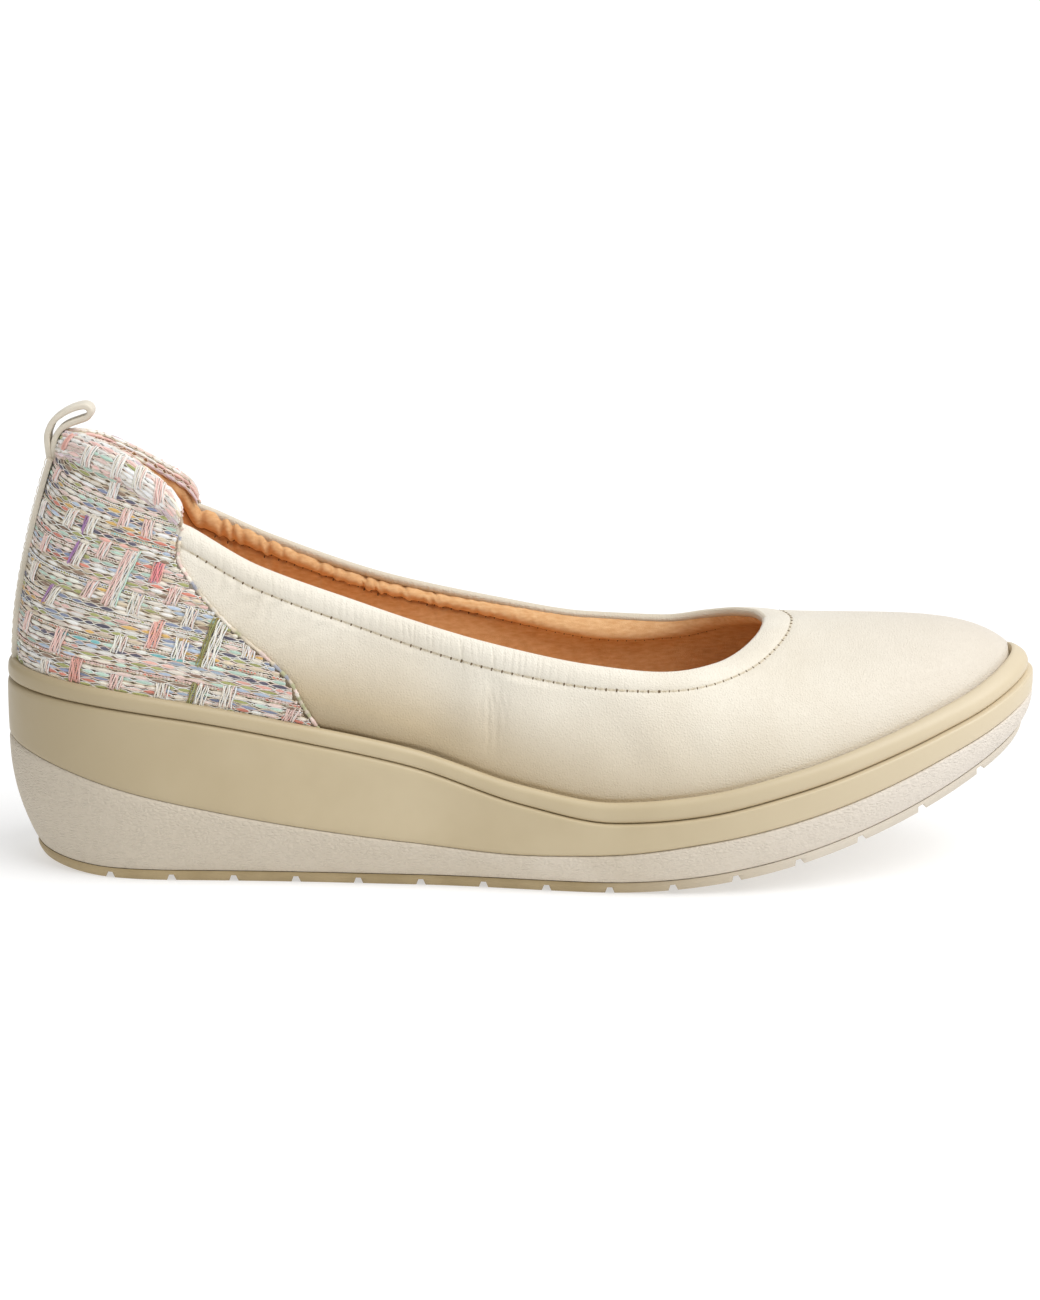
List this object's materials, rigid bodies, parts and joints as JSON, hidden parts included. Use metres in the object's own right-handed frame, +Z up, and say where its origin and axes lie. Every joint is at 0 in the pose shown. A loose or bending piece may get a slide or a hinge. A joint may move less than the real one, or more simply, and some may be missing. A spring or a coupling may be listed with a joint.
{
  "type": "wedge shoe",
  "caption": "Slip-on wedge shoe with a low-cut leather upper, a woven heel counter, a pull loop and a moulded cup sole on a foam wedge; worn on the right foot.",
  "frame": {"origin": "on the floor, under the middle of the shoe's length and width", "axes": "+X to the toe, +Y to the inner side of the foot, +Z up"},
  "size_m": [0.257, 0.0858, 0.1144],
  "materials": {
    "tread": "beige moulded rubber, matte",
    "wedge": "off-white foam with a fine pebble texture, matte",
    "midsole": "beige moulded cup, satin",
    "insole": "tan suede footbed and lining",
    "upper": "cream smooth leather with a fine grain, satin",
    "counter": "pastel woven tweed",
    "trim": "cream leather, satin"
  },
  "bodies": {
    "root": {"tread": "tread", "wedge": "wedge", "midsole": "midsole", "insole": "insole", "upper": "upper", "counter": "counter", "back_strip": "trim", "pull_loop": "trim"}
  },
  "joints": []
}
